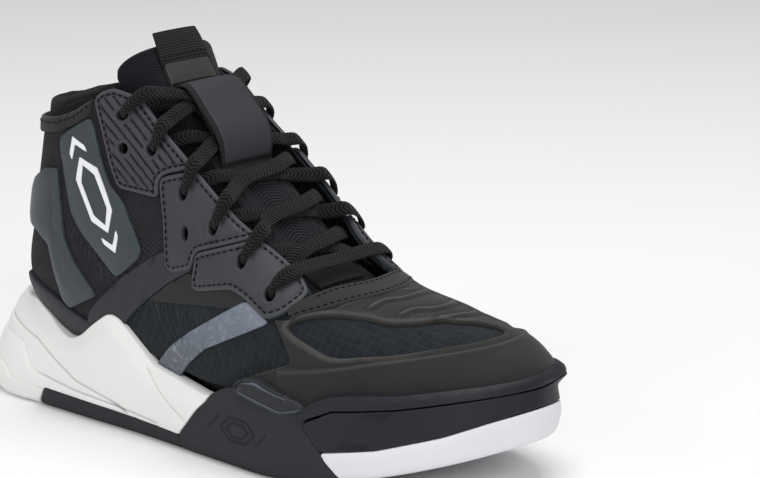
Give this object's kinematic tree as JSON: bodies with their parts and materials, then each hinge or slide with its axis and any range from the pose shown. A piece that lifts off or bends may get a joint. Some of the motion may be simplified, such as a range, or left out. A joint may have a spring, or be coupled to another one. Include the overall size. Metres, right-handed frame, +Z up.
{
  "type": "lace-up riding sneaker",
  "caption": "Mid-high lace-up motorcycle riding sneaker, right foot, with a two-tone moulded sole, protective side panels and padded tongue.",
  "frame": {"origin": "middle of the shoe's bounding box at the ground", "axes": "+X from heel to toe, +Z up, -Y towards the outer (lateral) side of the right foot"},
  "size_m": [0.3022, 0.1082, 0.1806],
  "materials": {
    "white_foam": "fine-grained moulded EVA foam",
    "white_rubber": "satin moulded rubber",
    "charcoal_rubber": "fine matt grain",
    "bumper_rubber": "satin, slightly bluish",
    "board": "hidden fibre board",
    "ballistic_fabric": "coarse plain weave",
    "mesh_fabric": "open knit mesh",
    "tpu": "smooth satin moulding",
    "webbing": "ribbed tape",
    "nubuck": "brushed, moulded ridges",
    "guard_foam": "foam",
    "lining_mesh": "spacer mesh",
    "steel": "strip steel",
    "tongue_mesh": "padded spacer mesh",
    "band_fabric": "smooth elastic tape",
    "lace_braid": "flat braid",
    "ribbed_leather": "ribbed, fine grain",
    "leather": "fine grain",
    "film": "thin satin film",
    "reflective": "mottled retroreflective film"
  },
  "bodies": {
    "shoe": {"heel_midsole": "white_foam", "rear_outsole": "charcoal_rubber", "forefoot_shell": "charcoal_rubber", "toe_bumper": "bumper_rubber", "toe_outsole": "white_rubber", "strobel_board": "board", "quarter_lateral": "ballistic_fabric", "quarter_medial": "ballistic_fabric", "vamp_mesh": "mesh_fabric", "ankle_panel_lateral": "tpu", "ankle_panel_medial": "tpu", "heel_fin": "tpu", "heel_rand": "charcoal_rubber", "collar_binding": "webbing", "throat_band": "nubuck", "toe_cap": "nubuck", "heel_counter": "board", "toe_puff": "board", "ankle_protector_lateral": "guard_foam", "ankle_protector_medial": "guard_foam", "foot_lining": "lining_mesh", "collar_padding": "lining_mesh", "shank": "steel", "tongue": "tongue_mesh", "tongue_webbing": "webbing", "lace_lock_band": "band_fabric", "tongue_badge": "tpu", "lace_keeper": "tpu", "laces": "lace_braid", "ribbed_collar_lateral": "ribbed_leather", "eyestay_rear_lateral": "leather", "eyestay_front_lateral": "leather", "side_strap_lateral": "charcoal_rubber", "side_film_lateral": "film", "reflective_stripe_lateral": "reflective", "ribbed_collar_medial": "ribbed_leather", "eyestay_rear_medial": "leather", "eyestay_front_medial": "leather", "side_strap_medial": "charcoal_rubber", "side_film_medial": "film", "reflective_stripe_medial": "reflective"},
    "pull_tab": {"tongue_pull_tab": "webbing"},
    "insole": {"insole": "guard_foam"}
  },
  "joints": [
    {"name": "pull_tab_swing", "type": "hinge", "parent": "shoe", "child": "pull_tab", "pos_m": [-0.045, 0.0014, 0.163], "axis": [0, 1, 0], "range_deg": [0, 60]},
    {"name": "insole_lift", "type": "hinge", "parent": "shoe", "child": "insole", "pos_m": [0.13, 0.0014, 0.036], "axis": [0, 1, 0], "range_deg": [0, 8]}
  ]
}
